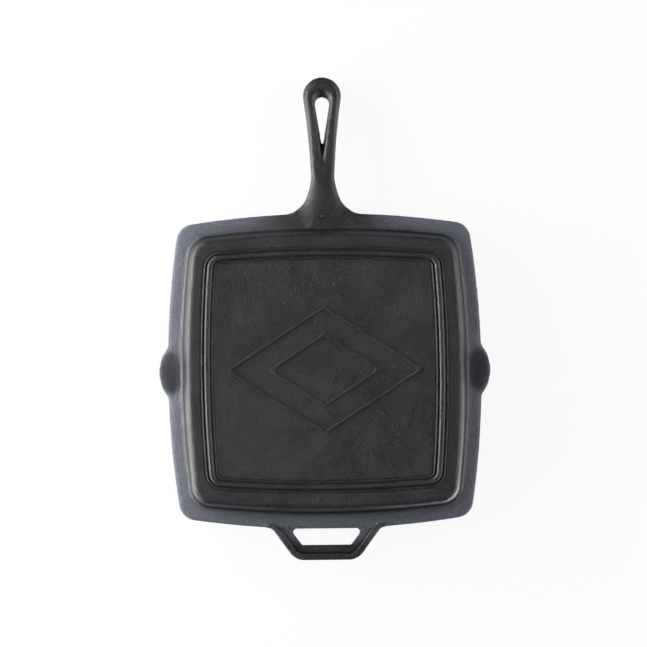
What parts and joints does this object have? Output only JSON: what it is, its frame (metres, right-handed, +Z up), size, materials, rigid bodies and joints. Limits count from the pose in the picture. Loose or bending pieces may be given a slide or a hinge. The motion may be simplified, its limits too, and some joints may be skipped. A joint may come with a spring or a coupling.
{
  "type": "cast iron skillet",
  "caption": "Square cast iron skillet with bowed sides, a flat rim, side pour spouts, a long handle with a teardrop hanging hole and a helper loop opposite.",
  "frame": {"origin": "middle of the pan, in the plane it stands on", "axes": "+Z up out of the pan's mouth, +Y towards the main handle, +X towards the right hand pour spout"},
  "size_m": [0.3238, 0.4696, 0.061],
  "materials": {
    "iron": "seasoned, semi-matt sand-cast skin"
  },
  "bodies": {
    "root": {"pan_floor": "iron", "side_wall": "iron", "rim_flange": "iron", "pour_spout_left": "iron", "pour_spout_right": "iron", "main_handle": "iron", "helper_handle": "iron", "heat_ring": "iron", "lozenge_outer": "iron", "lozenge_inner": "iron", "gate_nub": "iron"}
  },
  "joints": []
}
